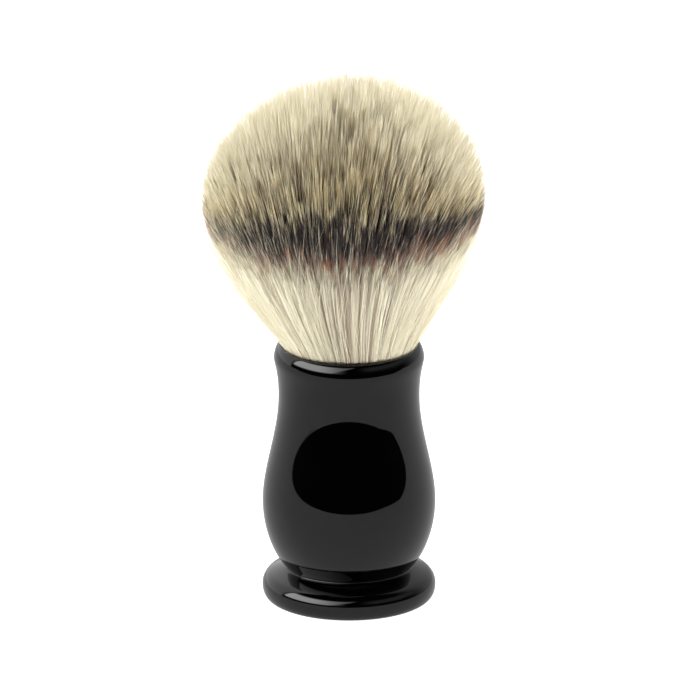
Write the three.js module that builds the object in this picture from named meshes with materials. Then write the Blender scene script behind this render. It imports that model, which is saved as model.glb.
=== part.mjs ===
// A shaving brush standing upright: a turned handle with a socket in its top, and a fan-shaped
// knot of filaments that is tied, potted in a plug and glued into that socket.
// Millimetres, +Z up. The origin is the centre of the foot's underside.

import * as THREE from "three";
import { mergeVertices } from "three/addons/utils/BufferGeometryUtils.js";

// Driving dimensions: outside radii and heights above the table.
const TOTAL_HEIGHT = 110;
const FOOT = { base: 15.9, widest: 17.8, widestZ: 2.8, shoulderRadius: 16.4, shoulderZ: 5.45 };
const NECK = { radius: 13.35, z: 7.25 };
const BELLY = { radius: 17.75, z: 20.9 };
const WAIST = { radius: 14.45, z: 43.4 };
const LIP = { radius: 15.4, z: 51.6, crestRadius: 13.95, crestZ: 54.5 };
const SOCKET = { radius: 12, floorZ: 36.4, flareZ: 48.4, mouthRadius: 13.6, mouthZ: 54 };

// Two glued or packed pieces keep this much room between their faces.
const GAP = 0.3;

// The glue bed is a thin cup that lines the socket's lower part.
const GLUE = { floor: 0.9, wall: 0.5, topZ: 45.2 };

// The plug is the resin that the filaments' ends are potted in.
const PLUG = { topZ: 45.8, shoulder: 0.6 };

// The thread is wound round the filaments just above the plug.
const THREAD = { radius: 0.35, turns: 3, pitch: 0.8, startZ: 46.5, stepsPerTurn: 20 };

// The filaments leave the thread as a tight bundle and fan out from there. The outermost one
// heads for the bend and curves from it towards its tip.
const ROOT = { radius: 10.6, fanZ: 48.6 };
const BEND = { radius: 14.2, z: 56 };

// The tips end on an ellipsoid round the widest level. A tip's place on it is an angle from the
// top, which grows from 0 in the middle to this many degrees at the outermost filaments.
const BLOOM = { radius: 28.75, z: 86, outermostAngle: 118, crowding: 1.35 };

// The knot is bundled into a core and two rings of tufts with equal shares of its filaments.
const RINGS = [
  { name: "knot_inner_tuft", count: 6 },
  { name: "knot_outer_tuft", count: 12 },
];

// How finely the round shapes are divided.
const TURNED_SIDES = 56;
const CORE_SIDES = 18;
const CORE_TOP_STEPS = 3;
const CURVE_STEPS = 5;
const THREAD_STEPS = 3;
const FAN_STEPS = 7;
const TUFT_CELLS = { across: 5, around: 3 };

const blackResin = new THREE.MeshStandardMaterial({ color: 0x08080a, roughness: 0.08, metalness: 0 });
const glue = new THREE.MeshStandardMaterial({ color: 0xc9bf9f, roughness: 0.35, metalness: 0 });
const plugResin = new THREE.MeshStandardMaterial({ color: 0x8a6a3c, roughness: 0.3, metalness: 0 });
const cotton = new THREE.MeshStandardMaterial({ color: 0xe6e0cf, roughness: 0.9, metalness: 0 });
const creamFibre = new THREE.MeshStandardMaterial({ color: 0xd8cfa8, roughness: 0.45, metalness: 0 });

const brush = new THREE.Group();

function place(name, geometry, material) {
  const mesh = new THREE.Mesh(geometry, material);
  mesh.name = name;
  brush.add(mesh);
}

// Turns an outline of (radius, height) points into a solid of revolution about Z.
function turned(outline, sides) {
  return new THREE.LatheGeometry(outline, sides).rotateX(Math.PI / 2);
}

// The handle's outline runs from the centre of the underside out over the foot, up to the lip,
// and back down the socket's wall to the centre of its floor.
function handleOutline() {
  const path = new THREE.Path();
  path.moveTo(0, 0);
  path.lineTo(FOOT.base, 0);
  // The foot's edge is round: nearly a quarter of an ellipse below and a wider curve above.
  path.bezierCurveTo(FOOT.base + 1.2, 0, FOOT.widest, 1.1, FOOT.widest, FOOT.widestZ);
  path.bezierCurveTo(FOOT.widest, 4.1, 17.1, 5, FOOT.shoulderRadius, FOOT.shoulderZ);
  // The foot's top slopes up to the neck, where a small fillet turns it into the belly.
  path.bezierCurveTo(14, 6.64, 13.05, 6.9, NECK.radius, NECK.z);
  path.bezierCurveTo(15.8, 10.1, BELLY.radius, 15.2, BELLY.radius, BELLY.z);
  path.bezierCurveTo(BELLY.radius, 27.8, WAIST.radius, 35.4, WAIST.radius, WAIST.z);
  path.bezierCurveTo(WAIST.radius, 48.7, LIP.radius, 50.4, LIP.radius, LIP.z);
  path.bezierCurveTo(LIP.radius, 52.6, 14.8, LIP.crestZ, LIP.crestRadius, LIP.crestZ);
  // Inside the mouth the bore narrows in a smooth flare to the socket's own radius.
  path.lineTo(SOCKET.mouthRadius, SOCKET.mouthZ);
  path.bezierCurveTo(13.1, 51.9, SOCKET.radius, 50.2, SOCKET.radius, SOCKET.flareZ);
  path.lineTo(SOCKET.radius, SOCKET.floorZ);
  path.lineTo(0, SOCKET.floorZ);
  return path.getPoints(CURVE_STEPS);
}

function makeHandle() {
  place("handle", turned(handleOutline(), TURNED_SIDES), blackResin);
}

function makeGlueBed() {
  const outer = SOCKET.radius - GAP;
  const inner = outer - GLUE.wall;
  const bottom = SOCKET.floorZ + GAP;
  const floorTop = bottom + GLUE.floor;
  const outline = [
    new THREE.Vector2(0, bottom),
    new THREE.Vector2(outer, bottom),
    new THREE.Vector2(outer, GLUE.topZ),
    new THREE.Vector2(inner, GLUE.topZ),
    new THREE.Vector2(inner, floorTop),
    new THREE.Vector2(0, floorTop),
  ];
  place("socket_glue_bed", turned(outline, TURNED_SIDES), glue);
}

function makePlug() {
  const radius = SOCKET.radius - GAP - GLUE.wall - GAP;
  const bottom = SOCKET.floorZ + GAP + GLUE.floor + GAP;
  const outline = [
    new THREE.Vector2(0, bottom),
    new THREE.Vector2(radius - PLUG.shoulder, bottom),
    new THREE.Vector2(radius, bottom + PLUG.shoulder),
    new THREE.Vector2(radius, PLUG.topZ - PLUG.shoulder),
    new THREE.Vector2(radius - PLUG.shoulder, PLUG.topZ),
    new THREE.Vector2(0, PLUG.topZ),
  ];
  place("knot_plug", turned(outline, TURNED_SIDES), plugResin);
}

// A helix round the Z axis, whose turns lie side by side.
class ThreadPath extends THREE.Curve {
  getPoint(t, target = new THREE.Vector3()) {
    const angle = 2 * Math.PI * THREAD.turns * t;
    const radius = ROOT.radius + GAP + THREAD.radius;
    return target.set(
      radius * Math.cos(angle),
      radius * Math.sin(angle),
      THREAD.startZ + THREAD.turns * THREAD.pitch * t,
    );
  }
}

function makeBindingThread() {
  const section = new THREE.Shape();
  section.absarc(0, 0, THREAD.radius, 0, 2 * Math.PI);
  const geometry = new THREE.ExtrudeGeometry(section, {
    extrudePath: new ThreadPath(),
    steps: THREAD.turns * THREAD.stepsPerTurn,
    curveSegments: THREAD_STEPS,
  });
  place("binding_thread", geometry, cotton);
}

// Where a filament ends, as (radius, height). Its share is 0 in the middle of the bundle and 1
// at the outside.
function tipAt(share) {
  const angle = THREE.MathUtils.degToRad(BLOOM.outermostAngle) * share ** BLOOM.crowding;
  const domeHeight = TOTAL_HEIGHT - BLOOM.z;
  return new THREE.Vector2(BLOOM.radius * Math.sin(angle), BLOOM.z + domeHeight * Math.cos(angle));
}

// A filament's line from the bundle's lower end, at step 0, to its tip, at the last step.
const LAST_STEP = FAN_STEPS + 1;

function filamentAt(step, share) {
  if (step === 0) return new THREE.Vector2(share * ROOT.radius, PLUG.topZ + GAP);
  const fan = new THREE.QuadraticBezierCurve(
    new THREE.Vector2(share * ROOT.radius, ROOT.fanZ),
    new THREE.Vector2(share * BEND.radius, BEND.z),
    tipAt(share),
  );
  return fan.getPoint((step - 1) / FAN_STEPS);
}

// A tuft is a box bent into a sector of the bundle: across is the share of the radius, around
// the angle, and up the way along the filaments. It keeps half the gap on each of its sides.
function tuftGeometry(innerShare, outerShare, middleAngle, sector) {
  const box = new THREE.BoxGeometry(1, 1, 1, TUFT_CELLS.across, TUFT_CELLS.around, LAST_STEP);
  box.deleteAttribute("normal");
  box.deleteAttribute("uv");
  const geometry = mergeVertices(box);
  const positions = geometry.getAttribute("position");
  for (let i = 0; i < positions.count; i++) {
    const across = positions.getX(i) + 0.5;
    const around = positions.getY(i);
    const step = Math.round((positions.getZ(i) + 0.5) * LAST_STEP);
    const filament = filamentAt(step, innerShare + across * (outerShare - innerShare));
    const radius = filament.x + GAP * (0.5 - across);
    const angle = middleAngle + around * (sector - GAP / radius);
    positions.setXYZ(i, radius * Math.cos(angle), radius * Math.sin(angle), filament.y);
  }
  return geometry;
}

function coreOutline(outerShare) {
  const outline = [new THREE.Vector2(0, PLUG.topZ + GAP)];
  for (let step = 0; step <= LAST_STEP; step++) {
    const filament = filamentAt(step, outerShare);
    outline.push(new THREE.Vector2(filament.x - GAP / 2, filament.y));
  }
  for (let step = CORE_TOP_STEPS - 1; step >= 0; step--) {
    outline.push(tipAt((outerShare * step) / CORE_TOP_STEPS));
  }
  return outline;
}

function makeKnot() {
  const tuftTotal = 1 + RINGS.reduce((sum, ring) => sum + ring.count, 0);
  let tuftsInside = 1;
  let innerShare = Math.sqrt(tuftsInside / tuftTotal);
  place("knot_core_tuft", turned(coreOutline(innerShare), CORE_SIDES), creamFibre);
  for (const ring of RINGS) {
    tuftsInside += ring.count;
    const outerShare = Math.sqrt(tuftsInside / tuftTotal);
    const sector = (2 * Math.PI) / ring.count;
    for (let i = 0; i < ring.count; i++) {
      const geometry = tuftGeometry(innerShare, outerShare, i * sector, sector);
      place(`${ring.name}_${i + 1}`, geometry, creamFibre);
    }
    innerShare = outerShare;
  }
}

makeHandle();
makeGlueBed();
makePlug();
makeBindingThread();
makeKnot();

export default brush;
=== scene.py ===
"""A shaving brush standing upright: a polished black handle and a fan of fine banded filaments.

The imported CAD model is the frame. The handle is turned again on the same outline with smooth
steps, and each tuft of the knot is made again as its separate filaments.
"""

import math

import bpy
import numpy as np
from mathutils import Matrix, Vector
from mathutils.kdtree import KDTree


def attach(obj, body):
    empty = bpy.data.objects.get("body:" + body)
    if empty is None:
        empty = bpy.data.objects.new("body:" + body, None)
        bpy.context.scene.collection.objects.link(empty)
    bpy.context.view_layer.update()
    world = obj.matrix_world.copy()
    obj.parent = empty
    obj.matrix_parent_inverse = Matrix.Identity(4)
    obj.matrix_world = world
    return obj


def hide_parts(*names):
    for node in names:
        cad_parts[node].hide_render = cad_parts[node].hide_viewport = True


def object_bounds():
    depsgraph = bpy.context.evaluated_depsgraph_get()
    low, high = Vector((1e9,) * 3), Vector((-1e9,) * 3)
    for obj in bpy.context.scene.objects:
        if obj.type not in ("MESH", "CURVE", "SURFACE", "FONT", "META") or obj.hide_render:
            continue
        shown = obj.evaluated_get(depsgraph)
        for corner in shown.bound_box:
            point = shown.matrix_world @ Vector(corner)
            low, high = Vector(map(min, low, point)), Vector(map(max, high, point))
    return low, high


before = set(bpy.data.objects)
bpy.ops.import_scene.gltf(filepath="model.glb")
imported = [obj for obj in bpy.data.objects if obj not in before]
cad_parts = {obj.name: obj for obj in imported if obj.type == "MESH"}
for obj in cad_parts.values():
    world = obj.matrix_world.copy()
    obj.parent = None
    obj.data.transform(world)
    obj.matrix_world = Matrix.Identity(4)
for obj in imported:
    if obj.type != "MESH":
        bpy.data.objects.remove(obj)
cad_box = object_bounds()
cad_low, cad_high = cad_box

# The outline and the fan below are in millimetres, as in the CAD source. The height of the
# frame says how long one of them is in metres.
TOTAL_HEIGHT = 110
MM = (cad_high.z - cad_low.z) / TOTAL_HEIGHT

FOOT = {"base": 15.9, "widest": 17.8, "widest_z": 2.8}
SHOULDER = {"radius": 16.4, "z": 5.45}
NECK = {"radius": 13.35, "z": 7.25}
BELLY = {"radius": 17.75, "z": 20.9}
WAIST = {"radius": 14.45, "z": 43.4}
LIP = {"radius": 15.4, "z": 51.6, "crest_radius": 13.95, "crest_z": 54.5}
SOCKET = {"radius": 12, "floor_z": 36.4, "flare_z": 48.4, "mouth_radius": 13.6, "mouth_z": 54}

# The filaments leave the plug as a tight bundle, fan out from the thread and end on an ellipsoid.
ROOT = {"radius": 10.6, "z": 46.1, "fan_z": 48.6}
BEND = {"radius": 14.2, "z": 56}
BLOOM = {"radius": 28.75, "z": 86, "outermost_angle": math.radians(118), "crowding": 1.35}
TUFT_RINGS = [("inner_tuft", 6), ("outer_tuft", 12)]

# How finely the handle is turned, and the bend from which an edge of it stays sharp.
HANDLE_SIDES = 240
CURVE_STEPS = 18
SHARP_ANGLE = math.radians(40)

# Filaments near each other lean together in strands, and strands in wider locks. The flyaways
# are single loose filaments on top of the others.
SEED = 20
FILAMENTS = 36000
STRANDS = 7200
LOCKS = 520
FLYAWAYS = 600
FILAMENT_CORNERS = 3
FAN_STEPS = 8

# The radius of a filament in millimetres, the least and the most of it that a single one has,
# and the share of it that is lost towards the tip.
THICKNESS = {"radius": 0.064, "spread": (0.75, 1.25), "taper": 0.55}

# How far the knot bulges to the left, in millimetres.
SWAY = -1.35

# A filament leans by shares of the bundle's radius on its own and with its lock, and is drawn by
# shares of its distance towards the middles of its lock and its strand. The lean grows with a
# power of the way along the filament.
LEAN = {"own": 0.008, "lock": 0.009, "to_lock": 0.12, "to_strand": (0.2, 0.9), "power": 1.6}

# A slow wave makes each filament slightly uneven. Its size is a share of the bundle's radius.
WAVE = {"size": 0.004, "turns": (0.7, 1.6)}

# How far filaments end short of the bloom, as shares of their length. The parts that differ from
# one to the next and from strand to strand are averages, less the same amount for all.
SHORTFALL = {"own": 0.008, "strand": 0.014, "less": 0.02, "least": -0.03, "most": 0.2}

# The share of the filaments that stand out beyond the others, and how far they do on average.
STANDING_OUT = {"share": 0.12, "by": 0.014}

# The least share of the bundle's radius, so that even the middle filament has a heading.
TINY = 1e-6
# Leaning takes no filament further out in the fan than this share of the bundle's radius.
MOST_SHARE = 1.06

# The flyaways: the degrees from the top where they end, how far they lift off the knot and the
# outline that they follow in millimetres, and how far they drift round the knot in radians.
FLYAWAY = {
    "radius": 0.04,
    "tip_angles": (52, 120),
    "lift": 0.45,
    "most_lift": 1.5,
    "mouth": (13.2, 56.5),
    "bulge_radius": 27.5,
    "bulge_lift": 1.4,
    "bulge_z": 73,
    "bulge_z_spread": 1.5,
    "crowding": 0.25,
    "drift": 0.13,
    "ripple": 0.02,
    "ripple_turn": 9,
}

# A filament's colour depends on its column and on the length along it, which are its UV place.
# The first few columns are for pale filaments, which hardly show the band. The height of the UV
# square stands for a span of lengths in millimetres, which starts a little below the fan.
COLUMNS = 64
COLUMN_MARGIN = 0.15
PALE_COLUMNS = 5
PALE_BAND = 0.12
LENGTH_SPAN = 76
LENGTH_BELOW = 6

# The share of the bundle's radius from which a filament counts for the knot's edge, and how much
# further out it does so fully.
EDGE = {"from": 0.6, "over": 0.25}
# How likely a filament is pale: anywhere in the knot, and besides at its left and right edges,
# more at the left. The pale filaments at the edges are painted rim light and highlights.
PALE_CHANCE = {"anywhere": 0.03, "rim_light_at_the_edges": 0.40, "more_rim_light_at_the_left": 0.30}
# The share of the filaments whose colours differ from their strand's.
ODD_SHARE = 0.15
# How much the tones shift to pale at the left and right edges, as painted rim light.
RIM_LIGHT_PALING = 2.2

# How far the colours are shifted along a filament, in millimetres: the deviations from one to
# the next and from strand to strand, and half the band's rise at the knot's right edge.
SHIFT = {"own": 0.8, "strand": 1.3, "rise": 0.6}
# The lengths between which the band gets narrower at the left and right, and by how much.
NARROWING = {"lengths": (38.5, 44), "by": (0, 5.5)}
# From this part of its way on, a filament is as pale as if it were further along: by so much in
# the middle and by so much more at the sides, where the extra paleness is painted rim light. One
# that ends in the band, below this length, gets none of it, and one that ends so far above it gets
# all of it.
TIP_PALING_AND_RIM_LIGHT = {"way": 0.86, "middle": 3, "sides": 19, "above": 46, "over": 5}

# The lengths along a filament at which its colours change, in millimetres from the fan's start.
# A filament's own band starts and ends somewhere in the spreads, and rarely ends much later.
ROOT_TO_STRAW = (38, 46)
STRAW_TO_IVORY = (51, 67)
BAND_START = {"first": 35.4, "spread": 3.0, "change": 1.0}
BAND_END = {"first": 42.5, "spread": 5.0, "rare_spread": 17.0, "rarity": 5.0, "change": 2.5}
BAND_FADING = {"lengths": (46, 60), "to": 0.55}
# The fringe starts below the band, reaches into it and is gone between these two lengths.
FRINGE = {"below": 3.2, "full_below": 1.0, "gone": (46, 42)}

CREAM = (0.92, 0.87, 0.67)
LIGHT_BROWN = (0.46, 0.36, 0.25)
STRAW = (0.72, 0.59, 0.31)
PALE_STRAW = (0.92, 0.82, 0.54)
OLIVE_BROWN = (0.23, 0.16, 0.08)
IVORY = (0.91, 0.85, 0.64)
RUST = (0.50, 0.15, 0.05)
MAUVE_BROWN = (0.26, 0.17, 0.13)
BAND = (0.022, 0.014, 0.016)
BLACK = (0.0002, 0.0002, 0.0003)
BLACK_HAZE = (0.0005, 0.0005, 0.0006)
GLUE = (0.50, 0.42, 0.24)
CLOUDY_GLUE = (0.68, 0.62, 0.44)
DARK_AMBER = (0.16, 0.09, 0.03)
AMBER = (0.34, 0.21, 0.08)
COTTON_SHADE = (0.55, 0.50, 0.38)
COTTON = (0.80, 0.76, 0.66)


# --- meshes -----------------------------------------------------------------------------------


def mesh_object(name, points, triangles, uvs=None):
    """A smooth shaded mesh from arrays of points in metres, corner indices and loop UVs."""
    mesh = bpy.data.meshes.new(name)
    mesh.vertices.add(len(points))
    mesh.vertices.foreach_set("co", points.astype(np.float32).ravel())
    mesh.loops.add(triangles.size)
    mesh.loops.foreach_set("vertex_index", triangles.astype(np.int32).ravel())
    mesh.polygons.add(len(triangles))
    mesh.polygons.foreach_set("loop_start", np.arange(0, triangles.size, 3, dtype=np.int32))
    if uvs is not None:
        layer = mesh.uv_layers.new(name="OFBake")
        layer.uv.foreach_set("vector", uvs.astype(np.float32).ravel())
    mesh.update(calc_edges=True)
    mesh.shade_smooth()
    made = bpy.data.objects.new(name, mesh)
    bpy.context.scene.collection.objects.link(made)
    return made


def bezier(points, steps):
    """Points of a cubic Bezier curve of (radius, height), without its first one."""
    a, b, c, d = (np.array(p, dtype=float) for p in points)
    t = np.linspace(0, 1, steps + 1)[1:, None]
    return (1 - t) ** 3 * a + 3 * t * (1 - t) ** 2 * b + 3 * t**2 * (1 - t) * c + t**3 * d


def handle_outline():
    """The handle's section, from the centre of the underside over the lip to the socket's floor."""
    foot = (FOOT["widest"], FOOT["widest_z"])
    shoulder = (SHOULDER["radius"], SHOULDER["z"])
    neck = (NECK["radius"], NECK["z"])
    belly = (BELLY["radius"], BELLY["z"])
    waist = (WAIST["radius"], WAIST["z"])
    lip = (LIP["radius"], LIP["z"])
    crest = (LIP["crest_radius"], LIP["crest_z"])
    mouth = (SOCKET["mouth_radius"], SOCKET["mouth_z"])
    flare = (SOCKET["radius"], SOCKET["flare_z"])
    # Each curve is given by its ends and the two points between them that it heads for.
    outside = [
        [(FOOT["base"], 0), (FOOT["base"] + 1.2, 0), (FOOT["widest"], 1.1), foot],
        [foot, (FOOT["widest"], 4.1), (17.1, 5), shoulder],
        [shoulder, (14, 6.64), (13.05, 6.9), neck],
        [neck, (15.8, 10.1), (BELLY["radius"], 15.2), belly],
        [belly, (BELLY["radius"], 27.8), (WAIST["radius"], 35.4), waist],
        [waist, (WAIST["radius"], 48.7), (LIP["radius"], 50.4), lip],
        [lip, (LIP["radius"], 52.6), (14.8, LIP["crest_z"]), crest],
    ]
    inside = [mouth, (13.1, 51.9), (SOCKET["radius"], 50.2), flare]
    parts = [np.array([(0, 0), (FOOT["base"], 0)])]
    parts += [bezier(curve, CURVE_STEPS) for curve in outside]
    parts.append(np.array([mouth]))
    parts.append(bezier(inside, CURVE_STEPS))
    parts.append(np.array([(SOCKET["radius"], SOCKET["floor_z"]), (0, SOCKET["floor_z"])]))
    return np.concatenate(parts)


def make_handle():
    """Turns the outline round the Z axis. Its first and last points are single poles."""
    outline = handle_outline() * MM
    around = np.linspace(0, 2 * math.pi, HANDLE_SIDES, endpoint=False)
    rings = outline[1:-1]
    points = np.empty((len(rings), HANDLE_SIDES, 3))
    points[..., 0] = rings[:, :1] * np.cos(around)
    points[..., 1] = rings[:, :1] * np.sin(around)
    points[..., 2] = rings[:, 1:]
    poles = np.array([(0, 0, outline[0, 1]), (0, 0, outline[-1, 1])])
    bottom = len(rings) * HANDLE_SIDES
    here = np.arange(HANDLE_SIDES)
    beside = (here + 1) % HANDLE_SIDES
    triangles = [np.stack([np.full_like(here, bottom), beside, here], axis=1)]
    for ring in range(len(rings) - 1):
        low = ring * HANDLE_SIDES
        high = low + HANDLE_SIDES
        triangles.append(np.stack([low + here, low + beside, high + beside], axis=1))
        triangles.append(np.stack([low + here, high + beside, high + here], axis=1))
    last = (len(rings) - 1) * HANDLE_SIDES
    triangles.append(np.stack([np.full_like(here, bottom + 1), last + here, last + beside], axis=1))
    points = np.concatenate([points.reshape(-1, 3), poles])
    handle = mesh_object("turned_handle", points, np.concatenate(triangles))
    handle.data.set_sharp_from_angle(angle=SHARP_ANGLE)
    handle.data.materials.append(black_resin())
    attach(handle, "root")
    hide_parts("handle")


# --- the knot ---------------------------------------------------------------------------------


def fan_points(places, along):
    """Points of the fan in millimetres. A place is (x, y) in the bundle's round section, whose
    radius is 1, and along runs from 0 where the fan starts to 1 at the tips."""
    share = np.maximum(np.linalg.norm(places, axis=-1), TINY)
    heading = places / share[..., None]
    share = np.minimum(share, MOST_SHARE)
    angle = BLOOM["outermost_angle"] * share ** BLOOM["crowding"]
    tip_radius = BLOOM["radius"] * np.sin(angle)
    tip_z = BLOOM["z"] + (TOTAL_HEIGHT - BLOOM["z"]) * np.cos(angle)
    start, bend, end = (1 - along) ** 2, 2 * along * (1 - along), along**2
    radius = share * (start * ROOT["radius"] + bend * BEND["radius"]) + end * tip_radius
    z = start * ROOT["fan_z"] + bend * BEND["z"] + end * tip_z
    points = np.concatenate([heading * radius[..., None], z[..., None]], axis=-1)
    points[..., 0] += sway(z)
    return points


def sway(z):
    """The knot bulges a little to the left, most of all 10 mm below its widest level, and its top
    is slightly to the right."""
    rise = np.maximum(z - BEND["z"], 0) / (TOTAL_HEIGHT - BEND["z"])
    return SWAY * np.sin(1.1 * math.pi * rise**0.8)


def disc_places(rng, count):
    """Random places with the same density all over a disc of radius 1."""
    share = np.sqrt(rng.random(count))
    angle = 2 * math.pi * rng.random(count)
    return np.stack([share * np.cos(angle), share * np.sin(angle)], axis=1)


def nearest(places, centres):
    """The index of the centre that is nearest to each place."""
    tree = KDTree(len(centres))
    for i, (x, y) in enumerate(centres):
        tree.insert((x, y, 0), i)
    tree.balance()
    return np.array([tree.find((x, y, 0))[1] for x, y in places])


def filament_lines(rng, roots, strand, strands):
    """The centre line of every filament, as an array of (filament, step, xyz), millimetres."""
    count = len(roots)
    # The steps get shorter towards the tip, where a filament tapers.
    along = np.sin(np.linspace(0, math.pi / 2, FAN_STEPS + 1)) ** 1.2
    shortfall = SHORTFALL["own"] * rng.exponential(size=count) - SHORTFALL["less"]
    shortfall += SHORTFALL["strand"] * rng.exponential(size=len(strands))[strand]
    stands_out = rng.random(count) < STANDING_OUT["share"]
    shortfall -= np.where(stands_out, STANDING_OUT["by"] * rng.exponential(size=count), 0)
    shortfall = np.clip(shortfall, SHORTFALL["least"], SHORTFALL["most"])
    along = along[None, :] * (1 - shortfall)[:, None]
    locks = disc_places(rng, LOCKS)
    lock_leans = rng.normal(scale=LEAN["lock"], size=(LOCKS, 2))
    lock = nearest(roots, locks)
    strand_pull = rng.uniform(*LEAN["to_strand"], count)[:, None]
    lean = (strands[strand] - roots) * strand_pull
    lean += LEAN["to_lock"] * (locks[lock] - roots) + lock_leans[lock]
    lean += rng.normal(scale=LEAN["own"], size=(count, 2))
    wave = rng.normal(scale=WAVE["size"], size=(count, 2))
    wave_turns = rng.uniform(*WAVE["turns"], count)
    wave_start = rng.uniform(0, 2 * math.pi, count)
    swing = np.sin(wave_start[:, None] + 2 * math.pi * wave_turns[:, None] * along) * along
    places = (
        roots[:, None, :]
        + lean[:, None, :] * (along ** LEAN["power"])[..., None]
        + wave[:, None, :] * swing[..., None]
    )
    return with_lower_end(fan_points(places, along))


def with_lower_end(fan):
    """Adds the straight part below the fan, which goes down to the plug."""
    lower = fan[:, :1].copy()
    lower[..., 2] = ROOT["z"]
    return np.concatenate([lower, fan], axis=1)


def flyaway_lines(rng, turn):
    """Loose filaments that start at the knot's edge and lie on its surface, crossing the others.
    The turn says which way round the knot each one starts."""
    tip_angle = np.radians(rng.uniform(*FLYAWAY["tip_angles"], FLYAWAYS))
    lift = np.minimum(rng.exponential(scale=FLYAWAY["lift"], size=FLYAWAYS), FLYAWAY["most_lift"])
    tip_radius = (BLOOM["radius"] + lift) * np.sin(tip_angle)
    tip_z = BLOOM["z"] + (TOTAL_HEIGHT - BLOOM["z"]) * np.cos(tip_angle)
    tips = np.stack([tip_radius, tip_z], axis=1)
    bulge_radius = FLYAWAY["bulge_radius"] + FLYAWAY["bulge_lift"] * lift
    bulge_z = rng.normal(FLYAWAY["bulge_z"], FLYAWAY["bulge_z_spread"], FLYAWAYS)
    bulge = np.stack([bulge_radius, bulge_z], axis=1)
    t = np.linspace(0, 1, FAN_STEPS + 1)[None, :, None]
    start = np.array([ROOT["radius"], ROOT["fan_z"]])
    mouth = np.array(FLYAWAY["mouth"])
    section = (1 - t) ** 3 * start + 3 * t * (1 - t) ** 2 * mouth
    section = section + 3 * t**2 * (1 - t) * bulge[:, None] + t**3 * tips[:, None]
    drift = rng.normal(scale=FLYAWAY["drift"], size=FLYAWAYS)[:, None] * t[..., 0] ** 2
    ripple = rng.normal(scale=FLYAWAY["ripple"], size=FLYAWAYS)[:, None]
    heading = turn[:, None] + drift + ripple * np.sin(FLYAWAY["ripple_turn"] * t[..., 0])
    x = section[..., 0] * np.cos(heading) + sway(section[..., 1])
    y = section[..., 0] * np.sin(heading)
    return with_lower_end(np.stack([x, y, section[..., 1]], axis=-1))


def tube_points(rng, lines, radii):
    """Corner rings round each line, with its last point as a single tip: (filament, point, xyz)."""
    tangents = np.gradient(lines, axis=1)
    tangents /= np.linalg.norm(tangents, axis=-1, keepdims=True)
    turn = rng.uniform(0, 2 * math.pi, len(lines))
    side = np.stack([np.cos(turn), np.sin(turn), np.zeros_like(turn)], axis=1)[:, None, :]
    side = side - (side * tangents).sum(axis=-1, keepdims=True) * tangents
    side /= np.linalg.norm(side, axis=-1, keepdims=True)
    other = np.cross(tangents, side)
    corners = 2 * math.pi * np.arange(FILAMENT_CORNERS) / FILAMENT_CORNERS
    outward = (
        np.cos(corners)[:, None] * side[:, :, None, :]
        + np.sin(corners)[:, None] * other[:, :, None, :]
    )
    rings = lines[:, :, None, :] + radii[:, :, None, None] * outward
    rings = rings[:, :-1].reshape(len(lines), -1, 3)
    return np.concatenate([rings, lines[:, -1:]], axis=1)


def tube_pattern(ring_count):
    """One filament's triangles, and for each of their corners its way round and its point."""
    n = FILAMENT_CORNERS
    tip = ring_count * n
    # The first triangle closes the lower end.
    triangles = [(n - 1, 1, 0)]
    around = [(0, 0, 0)]
    steps = [(0, 0, 0)]
    for ring in range(ring_count):
        for i in range(n):
            low, low_next = ring * n + i, ring * n + (i + 1) % n
            if ring == ring_count - 1:
                triangles.append((low, low_next, tip))
                around.append((i, i + 1, i + 0.5))
                steps.append((ring, ring, ring + 1))
                continue
            high, high_next = low + n, low_next + n
            triangles += [(low, low_next, high_next), (low, high_next, high)]
            around += [(i, i + 1, i + 1), (i, i + 1, i)]
            steps += [(ring, ring, ring + 1), (ring, ring + 1, ring + 1)]
    return np.array(triangles), np.array(around) / n, np.array(steps)


def tuft_of(roots):
    """The CAD tuft that each filament belongs to: 0 is the core, and then ring by ring."""
    total = 1 + sum(count for _, count in TUFT_RINGS)
    share = np.linalg.norm(roots, axis=1)
    angle = np.arctan2(roots[:, 1], roots[:, 0])
    tuft = np.zeros(len(roots), dtype=int)
    inside = 1
    for _, count in TUFT_RINGS:
        here = share > math.sqrt(inside / total)
        sector = np.rint(angle / (2 * math.pi / count)).astype(int) % count
        tuft[here] = inside + sector[here]
        inside += count
    return tuft


def lengths_along(lines):
    """The length from where the fan starts to each point of a line. Below the fan it is negative."""
    lengths = np.linalg.norm(np.diff(lines, axis=1), axis=-1).cumsum(axis=1)
    lengths = np.concatenate([np.zeros((len(lines), 1)), lengths], axis=1)
    return lengths - lengths[:, 1:2]


def filament_radii(rng, way):
    """The radius at each point, whose way runs to 1 at the tip. The upper half gets thinner."""
    taper = 1 - THICKNESS["taper"] * np.clip((way - 0.5) / 0.5, 0, 1) ** 2
    radii = THICKNESS["radius"] * rng.uniform(*THICKNESS["spread"], len(way))[:, None] * taper
    radii[FILAMENTS:] *= FLYAWAY["radius"] / THICKNESS["radius"]
    return radii


def sides_of(roots):
    """How far each filament starts to the left, -1, or to the right, 1, of its ring, and how much
    it belongs to the knot's sides: 0 inside it and in the middle, 1 at its left and right edges."""
    share = np.linalg.norm(roots, axis=1)
    sideways = roots[:, 0] / share
    at_the_edge = np.clip((share - EDGE["from"]) / EDGE["over"], 0, 1)
    return sideways, at_the_edge * np.abs(sideways)


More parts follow.
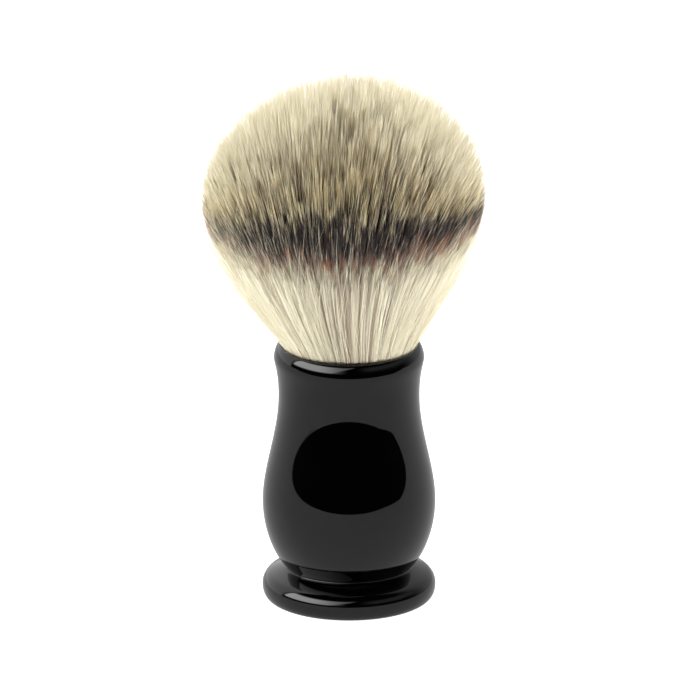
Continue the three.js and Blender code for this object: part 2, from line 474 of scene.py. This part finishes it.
def colour_columns(rng, roots, strand):
    """The column of each filament's colours. Towards both sides, and above all at the left, more
    of them are pale, which paints the rim light and highlights there."""
    sideways, aside = sides_of(roots)
    # Pale filaments at the left and right edges, more at the left, are painted rim light and
    # highlights.
    rim_light_at_the_edges = PALE_CHANCE["rim_light_at_the_edges"] - PALE_CHANCE["more_rim_light_at_the_left"] * np.sign(sideways)
    pale = rng.random(len(roots)) < PALE_CHANCE["anywhere"] + rim_light_at_the_edges * aside**2
    pale[FILAMENTS:] = True
    # Most filaments of a strand have the same colours.
    tone = rng.random(STRANDS)[strand]
    odd = rng.random(FILAMENTS) < ODD_SHARE
    tone[odd] = rng.random(odd.sum())
    # The tones shift to pale at the left and right edges: painted rim light.
    tone **= 1 / (1 + RIM_LIGHT_PALING * aside[:FILAMENTS])
    column = PALE_COLUMNS + ((COLUMNS - PALE_COLUMNS) * tone).astype(int)
    column = np.append(column, np.zeros(FLYAWAYS, dtype=int))
    column[pale] = rng.integers(0, PALE_COLUMNS, pale.sum())
    return column


def shown_lengths(rng, roots, strand, lengths, way):
    """The lengths that set the colours. They differ a little from filament to filament."""
    sideways, aside = sides_of(roots)
    shift = rng.normal(scale=SHIFT["own"], size=len(roots))
    shift[:FILAMENTS] += rng.normal(scale=SHIFT["strand"], size=STRANDS)[strand]
    # At the left and right the band is narrower, and at the right it is further up.
    shift -= SHIFT["rise"] * (1 + np.sign(sideways)) * aside
    narrower = np.interp(lengths, NARROWING["lengths"], NARROWING["by"]) * sideways[:, None] ** 4
    shown = lengths + shift[:, None] + narrower
    # The tips are as pale as if they were further on, except where they end in the band, and paler
    # still at the left and right, which is painted rim light.
    past_band = np.clip((shown[:, -1] - TIP_PALING_AND_RIM_LIGHT["above"]) / TIP_PALING_AND_RIM_LIGHT["over"], 0, 1)
    paler_and_rim_lit = (TIP_PALING_AND_RIM_LIGHT["middle"] + TIP_PALING_AND_RIM_LIGHT["sides"] * sideways**2) * past_band
    tip_share = np.clip((way - TIP_PALING_AND_RIM_LIGHT["way"]) / (1 - TIP_PALING_AND_RIM_LIGHT["way"]), 0, 1)
    shown += paler_and_rim_lit[:, None] * tip_share
    return np.clip(shown + LENGTH_BELOW, 0, LENGTH_SPAN)


def make_knot():
    """Every filament of the knot, shared out among the CAD's tufts."""
    rng = np.random.default_rng(SEED)
    roots = disc_places(rng, FILAMENTS)
    strands = disc_places(rng, STRANDS)
    strand = nearest(roots, strands)
    lines = filament_lines(rng, roots, strand, strands)
    turn = 2 * math.pi * rng.random(FLYAWAYS)
    # The flyaways are pale stray hairs. They crowd at the left and right, where their paleness paints
    # the highlights of hairs at the knot's sides.
    turn -= FLYAWAY["crowding"] * np.sin(2 * turn)
    lines = np.concatenate([lines, flyaway_lines(rng, turn)])
    roots = np.concatenate([roots, np.stack([np.cos(turn), np.sin(turn)], axis=1)])
    lengths = lengths_along(lines)
    way = lengths / lengths[:, -1:]
    points = tube_points(rng, lines, filament_radii(rng, way))
    triangles, around, along = tube_pattern(lines.shape[1] - 1)
    column = colour_columns(rng, roots, strand)
    shown = shown_lengths(rng, roots, strand, lengths, way)
    uvs = np.empty((len(roots), len(triangles), 3, 2))
    across = (1 - 2 * COLUMN_MARGIN) * around
    uvs[..., 0] = (column[:, None, None] + COLUMN_MARGIN + across[None]) / COLUMNS
    uvs[..., 1] = shown[:, along] / LENGTH_SPAN
    tuft = tuft_of(roots)
    material = banded_filament()
    make_tuft("core_tuft", "knot_core_tuft", tuft == 0, points, triangles, uvs, material)
    first = 1
    for ring, count in TUFT_RINGS:
        for i in range(count):
            name = f"{ring}_{i + 1}"
            chosen = tuft == first + i
            make_tuft(name, f"knot_{name}", chosen, points, triangles, uvs, material)
        first += count


def make_tuft(name, node, chosen, points, triangles, uvs, material):
    """One mesh of the chosen filaments, in place of the CAD tuft that the node names."""
    own = points[chosen]
    count, per_filament = own.shape[:2]
    offsets = np.arange(count)[:, None, None] * per_filament
    faces = (triangles[None] + offsets).reshape(-1, 3)
    tuft = mesh_object(f"{name}_filaments", own.reshape(-1, 3) * MM, faces, uvs[chosen])
    tuft.data.materials.append(material)
    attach(tuft, "root")
    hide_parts(node)


# --- materials --------------------------------------------------------------------------------


def new_material(name, constants):
    """A material with a Principled shader, whose sockets get the given constants."""
    material = bpy.data.materials.new(name)
    material.use_nodes = True
    shader = material.node_tree.nodes["Principled BSDF"]
    for socket, value in constants.items():
        shader.inputs[socket].default_value = value
    return material, material.node_tree, shader


def add(tree, kind, inputs=None, **settings):
    """Adds a node. An input is either a constant or another node's output."""
    node = tree.nodes.new(kind)
    for key, value in settings.items():
        setattr(node, key, value)
    for socket, value in (inputs or {}).items():
        if isinstance(value, bpy.types.NodeSocket):
            tree.links.new(value, node.inputs[socket])
        else:
            node.inputs[socket].default_value = value
    return node


def calc(tree, operation, a, b=0.0):
    """The result of a calculation. One that takes a single number leaves out the second."""
    return add(tree, "ShaderNodeMath", {0: a, 1: b}, operation=operation).outputs[0]


def ramp(tree, value, low, high, at_low=0.0, at_high=1.0):
    """A smooth step between two values of an input, which may be outputs themselves."""
    inputs = {"Value": value, "From Min": low, "From Max": high, "To Min": at_low, "To Max": at_high}
    return add(tree, "ShaderNodeMapRange", inputs, interpolation_type="SMOOTHSTEP").outputs[0]


def mix(tree, factor, a, b):
    """Mixes two colours, which may be outputs or constants. In a Mix node set to colours they are
    the inputs 6 and 7 and the output 2."""
    a = a if isinstance(a, bpy.types.NodeSocket) else (*a, 1)
    b = b if isinstance(b, bpy.types.NodeSocket) else (*b, 1)
    node = add(tree, "ShaderNodeMix", {0: factor, 6: a, 7: b}, data_type="RGBA")
    return node.outputs[2]


def mix_numbers(tree, factor, a, b):
    """Mixes two numbers, which are the inputs 2 and 3 and the output 0 of a Mix node."""
    return add(tree, "ShaderNodeMix", {0: factor, 2: a, 3: b}).outputs[0]


def noise(tree, coordinates, scale, detail=3.0):
    inputs = {"Vector": coordinates, "Scale": scale, "Detail": detail}
    return add(tree, "ShaderNodeTexNoise", inputs).outputs["Fac"]


def object_coordinates(tree):
    return add(tree, "ShaderNodeTexCoord").outputs["Object"]


def black_resin():
    """Cast resin, polished: almost mirror smooth, with faint haze and the waves of hand buffing."""
    material, tree, shader = new_material("black_resin", {"IOR": 1.5})
    place = object_coordinates(tree)
    haze = noise(tree, place, scale=60)
    tree.links.new(mix(tree, haze, BLACK, BLACK_HAZE), shader.inputs["Base Color"])
    roughness = ramp(tree, haze, 0.3, 0.8, at_low=0.02, at_high=0.05)
    tree.links.new(roughness, shader.inputs["Roughness"])
    waves = noise(tree, place, scale=110, detail=1.0)
    bump = add(tree, "ShaderNodeBump", {"Height": waves, "Strength": 0.02, "Distance": 0.0002})
    tree.links.new(bump.outputs[0], shader.inputs["Normal"])
    return material


def hair_place(tree):
    """The column and the length in millimetres that a filament's UV place stands for."""
    uv = add(tree, "ShaderNodeUVMap", uv_map="OFBake").outputs[0]
    place = add(tree, "ShaderNodeSeparateXYZ", {0: uv})
    column = calc(tree, "FLOOR", calc(tree, "MULTIPLY", place.outputs[0], COLUMNS))
    length = calc(tree, "MULTIPLY", place.outputs[1], LENGTH_SPAN)
    return column, calc(tree, "SUBTRACT", length, LENGTH_BELOW)


def hair_colour(tree, column, length):
    """The colour without the band: from cream or light brown at the root to straw, and ivory at
    the tip. The tone rises with the column, and the first few columns are the palest."""
    tone = calc(tree, "SUBTRACT", column, float(PALE_COLUMNS))
    tone = calc(tree, "DIVIDE", tone, float(COLUMNS - PALE_COLUMNS))
    tone = ramp(tree, column, PALE_COLUMNS - 1, PALE_COLUMNS, at_low=1.0, at_high=tone)
    root = mix(tree, ramp(tree, tone, 0.2, 0.85), LIGHT_BROWN, CREAM)
    straw = mix(tree, ramp(tree, tone, 0.2, 0.6), OLIVE_BROWN, STRAW)
    straw = mix(tree, ramp(tree, tone, 0.6, 0.95), straw, PALE_STRAW)
    colour = mix(tree, ramp(tree, length, *ROOT_TO_STRAW), root, straw)
    return mix(tree, ramp(tree, length, *STRAW_TO_IVORY), colour, IVORY)


def band_limits(tree, start_draw, end_draw):
    """The lengths where a filament's own band starts and ends, from its random draws."""
    start = calc(tree, "MULTIPLY", start_draw, BAND_START["spread"])
    start = calc(tree, "ADD", BAND_START["first"], start)
    end = calc(tree, "MULTIPLY", end_draw, BAND_END["spread"])
    end = calc(tree, "ADD", BAND_END["first"], end)
    rare = calc(tree, "POWER", end_draw, BAND_END["rarity"])
    return start, calc(tree, "ADD", end, calc(tree, "MULTIPLY", rare, BAND_END["rare_spread"]))


def band_masks(tree, length, start, end):
    """How much a filament shows of the fringe below its band, and how much of the band."""
    fringe = calc(tree, "SUBTRACT", start, FRINGE["below"])
    full_fringe = calc(tree, "SUBTRACT", start, FRINGE["full_below"])
    rise = ramp(tree, length, fringe, full_fringe)
    fringe = calc(tree, "MULTIPLY", rise, ramp(tree, length, *FRINGE["gone"]))
    dark_start = calc(tree, "ADD", start, BAND_START["change"])
    dark_end = calc(tree, "ADD", end, BAND_END["change"])
    rise = ramp(tree, length, start, dark_start)
    dark = calc(tree, "MULTIPLY", rise, ramp(tree, length, dark_end, end))
    # Where the band of a filament runs on far towards its tip, it fades on the way.
    depth = ramp(tree, length, *BAND_FADING["lengths"], at_low=1.0, at_high=BAND_FADING["to"])
    return fringe, calc(tree, "MULTIPLY", dark, depth)


def banded_filament():
    """Synthetic hair: cream at the root, a rust fringe, a dark band, and straw up to an ivory tip."""
    gloss = {"Roughness": 0.4, "Sheen Weight": 0.35, "Sheen Tint": (1, 0.92, 0.86, 1)}
    material, tree, shader = new_material("banded_filament", gloss)
    column, length = hair_place(tree)
    draw = add(tree, "ShaderNodeTexWhiteNoise", {"W": column}, noise_dimensions="1D")
    draws = add(tree, "ShaderNodeSeparateColor", {0: draw.outputs["Color"]})
    fringe_draw, start_draw, end_draw = draws.outputs
    start, end = band_limits(tree, start_draw, end_draw)
    fringe, dark = band_masks(tree, length, start, end)
    fringe_colour = mix(tree, ramp(tree, fringe_draw, 0.45, 0.6), MAUVE_BROWN, RUST)
    present = ramp(tree, column, PALE_COLUMNS - 1, PALE_COLUMNS, at_low=PALE_BAND, at_high=1.0)
    colour = hair_colour(tree, column, length)
    colour = mix(tree, calc(tree, "MULTIPLY", fringe, present), colour, fringe_colour)
    colour = mix(tree, calc(tree, "MULTIPLY", dark, present), colour, BAND)
    tree.links.new(colour, shader.inputs["Base Color"])
    return material


def clear_glue():
    """Epoxy that has yellowed slightly, with cloudy patches."""
    material, tree, shader = new_material("clear_glue", {"IOR": 1.5})
    cloud = noise(tree, object_coordinates(tree), scale=320)
    tree.links.new(mix(tree, cloud, GLUE, CLOUDY_GLUE), shader.inputs["Base Color"])
    roughness = ramp(tree, cloud, 0.3, 0.7, at_low=0.22, at_high=0.42)
    tree.links.new(roughness, shader.inputs["Roughness"])
    return material


def potting_resin():
    """The amber resin of the plug, with flow marks."""
    material, tree, shader = new_material("potting_resin", {"IOR": 1.52})
    flow = noise(tree, object_coordinates(tree), scale=180, detail=5.0)
    tree.links.new(mix(tree, flow, DARK_AMBER, AMBER), shader.inputs["Base Color"])
    roughness = ramp(tree, flow, 0.3, 0.7, at_low=0.18, at_high=0.4)
    tree.links.new(roughness, shader.inputs["Roughness"])
    return material


def cotton_thread():
    """Twisted cotton: fine slanting plies and a little fuzz in the colour."""
    material, tree, shader = new_material("cotton_thread", {"Roughness": 0.9, "Sheen Weight": 0.3})
    place = object_coordinates(tree)
    plies = add(tree, "ShaderNodeTexWave", {"Vector": place, "Scale": 900, "Distortion": 2.0})
    fuzz = noise(tree, place, scale=2500)
    colour = mix(tree, plies.outputs["Fac"], COTTON_SHADE, COTTON)
    colour = mix(tree, calc(tree, "MULTIPLY", fuzz, 0.4), colour, IVORY)
    tree.links.new(colour, shader.inputs["Base Color"])
    return material


def give_material(node, material):
    """Shows a piece of the CAD model as it is, in the given material."""
    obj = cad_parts[node]
    obj.data.materials.clear()
    obj.data.materials.append(material)


# --- studio -----------------------------------------------------------------------------------


# The studio's sizes are in metres.
TABLE_GAP = 0.00005


def white_table(shade, glow):
    """A pale matt table top that glows a little, as a lit one does in a white studio."""
    glowing = {"Roughness": 0.8, "Emission Strength": glow, "Emission Color": (1, 1, 1, 1)}
    material, tree, shader = new_material("white_table", glowing)
    grain = noise(tree, object_coordinates(tree), scale=40)
    colour = mix(tree, grain, (shade,) * 3, (0.96 * shade,) * 3)
    tree.links.new(colour, shader.inputs["Base Color"])
    return material


def table_top(name, corners, shade, glow):
    """A flat sheet just below the foot. It is filled from its first corner, which sees the others."""
    z = cad_low.z - TABLE_GAP
    points = np.array([(x, y, z) for x, y in corners])
    fan = np.array([(0, i, i + 1) for i in range(1, len(corners) - 1)])
    sheet = mesh_object(name, points, fan)
    sheet.data.materials.append(white_table(shade, glow))
    return sheet


def make_floor():
    """A white table top. The handle doesn't mirror it, but a dimmer one of the same height, whose
    front edge is close enough for the dark room beyond it to show in the belly."""
    side, back = 3.0, 8.0
    corners = [(-side, -side), (side, -side), (side, back), (-side, back)]
    floor = table_top("floor", corners, shade=0.5, glow=1.1)
    floor.visible_glossy = False
    front, corner, beside, wing = -0.188, 0.2, -0.12, 0.33
    corners = [(-side, beside), (-wing, beside), (-corner, front)]
    corners += [(corner, front), (wing, beside), (side, beside)]
    corners += [(side, back), (-side, back)]
    mirrored = table_top("mirrored_panel", corners, shade=0.3, glow=0.2)
    mirrored.visible_camera = False
    mirrored.visible_diffuse = False


def studio_light(tree, azimuth, elevation, panels):
    """The light from each direction, which is the sum of the panels' light. Azimuth 0 is in front,
    where the camera is, and 90 on the right. Each of a panel's edges is given as two angles, from
    where it starts to shine to where it shines fully. The right edge leans with the elevation."""
    total = DARK_ROOM
    for source in panels:
        leaning = calc(tree, "MULTIPLY", elevation, -source["lean"])
        leaning = calc(tree, "ADD", azimuth, leaning)
        light = source["radiance"]
        angles = {"left": azimuth, "right": leaning, "low": elevation, "high": elevation}
        for edge, angle in angles.items():
            light = calc(tree, "MULTIPLY", light, ramp(tree, angle, *source[edge]))
        total = calc(tree, "ADD", total, light)
    return total


def panel(radiance, left, right, low=(-91, -90), high=(91, 90), lean=0.0):
    """A panel of light. Without a low or a high edge it reaches all the way down or up, and an
    edge beyond 180 degrees isn't there."""
    edges = {"left": left, "right": right, "low": low, "high": high}
    return {"radiance": radiance, "lean": lean, **edges}


# The handle mirrors a bright softbox at the left and a dim one at the right of a dark room that
# is white behind the brush. The knot is lit from the same sides, but more evenly.
DARK_ROOM = 0.005
MIRRORED = [
    panel(1.7, left=(-98, -92), right=(-37, -41), low=(7, 13), high=(46, 36), lean=1.2),
    panel(4.1, left=(-98, -92), right=(0, -55), low=(7, 13), high=(46, 36)),
    panel(0.30, left=(10, 40), right=(112, 82), low=(8, 26), high=(46, 28)),
    panel(1.1, left=(-200, -199), right=(-96, -102)),
    panel(0.50, left=(84, 129), right=(200, 199)),
]
LIGHTING = [
    panel(7.6, left=(-100, -90), right=(-49, -69), low=(-10, 0), high=(55, 40)),
    panel(7.6, left=(49, 69), right=(100, 90), low=(-10, 0), high=(55, 40)),
    panel(2.8, left=(-200, -199), right=(-90, -100), high=(65, 40)),
    panel(2.8, left=(90, 100), right=(200, 199), high=(65, 40)),
    panel(0.2, left=(-95, -90), right=(95, 90)),
]


def make_world():
    """The studio. The camera sees plain white all round."""
    world = bpy.data.worlds.new("studio")
    world.use_nodes = True
    tree = world.node_tree
    direction = add(tree, "ShaderNodeTexCoord").outputs["Generated"]
    x, y, z = add(tree, "ShaderNodeSeparateXYZ", {0: direction}).outputs
    azimuth = calc(tree, "ARCTAN2", x, calc(tree, "MULTIPLY", y, -1.0))
    azimuth = calc(tree, "DEGREES", azimuth)
    elevation = calc(tree, "DEGREES", calc(tree, "ARCSINE", z))
    rays = add(tree, "ShaderNodeLightPath").outputs
    mirrored = studio_light(tree, azimuth, elevation, MIRRORED)
    lighting = studio_light(tree, azimuth, elevation, LIGHTING)
    light = mix_numbers(tree, rays["Is Glossy Ray"], lighting, mirrored)
    light = mix_numbers(tree, rays["Is Camera Ray"], light, 1.0)
    tree.links.new(light, tree.nodes["Background"].inputs["Strength"])
    tree.nodes["Background"].inputs["Color"].default_value = (1, 1, 1, 1)
    bpy.context.scene.world = world


def make_camera():
    """A long lens in front, looking slightly down. The picture is 1.3 times the brush's height."""
    height = cad_high.z - cad_low.z
    picture = 1.301 * height
    aim = Vector((0.0002, 0, cad_low.z + 0.4814 * height))
    distance = 2.5
    elevation = math.radians(17.8)
    sensor = 36
    lens = bpy.data.cameras.new("camera")
    lens.sensor_width = sensor
    lens.lens = sensor * distance / picture
    # The camera sees to the far end of the floor.
    lens.clip_end = 30
    camera = bpy.data.objects.new("camera", lens)
    back = Vector((0, -math.cos(elevation), math.sin(elevation)))
    camera.location = aim + distance * back
    camera.rotation_euler = (-back).to_track_quat("-Z", "Y").to_euler()
    bpy.context.scene.collection.objects.link(camera)
    bpy.context.scene.camera = camera


make_camera()
make_world()
make_floor()
make_handle()
make_knot()
give_material("socket_glue_bed", clear_glue())
give_material("knot_plug", potting_resin())
give_material("binding_thread", cotton_thread())
bpy.context.scene.view_settings.view_transform = "Standard"
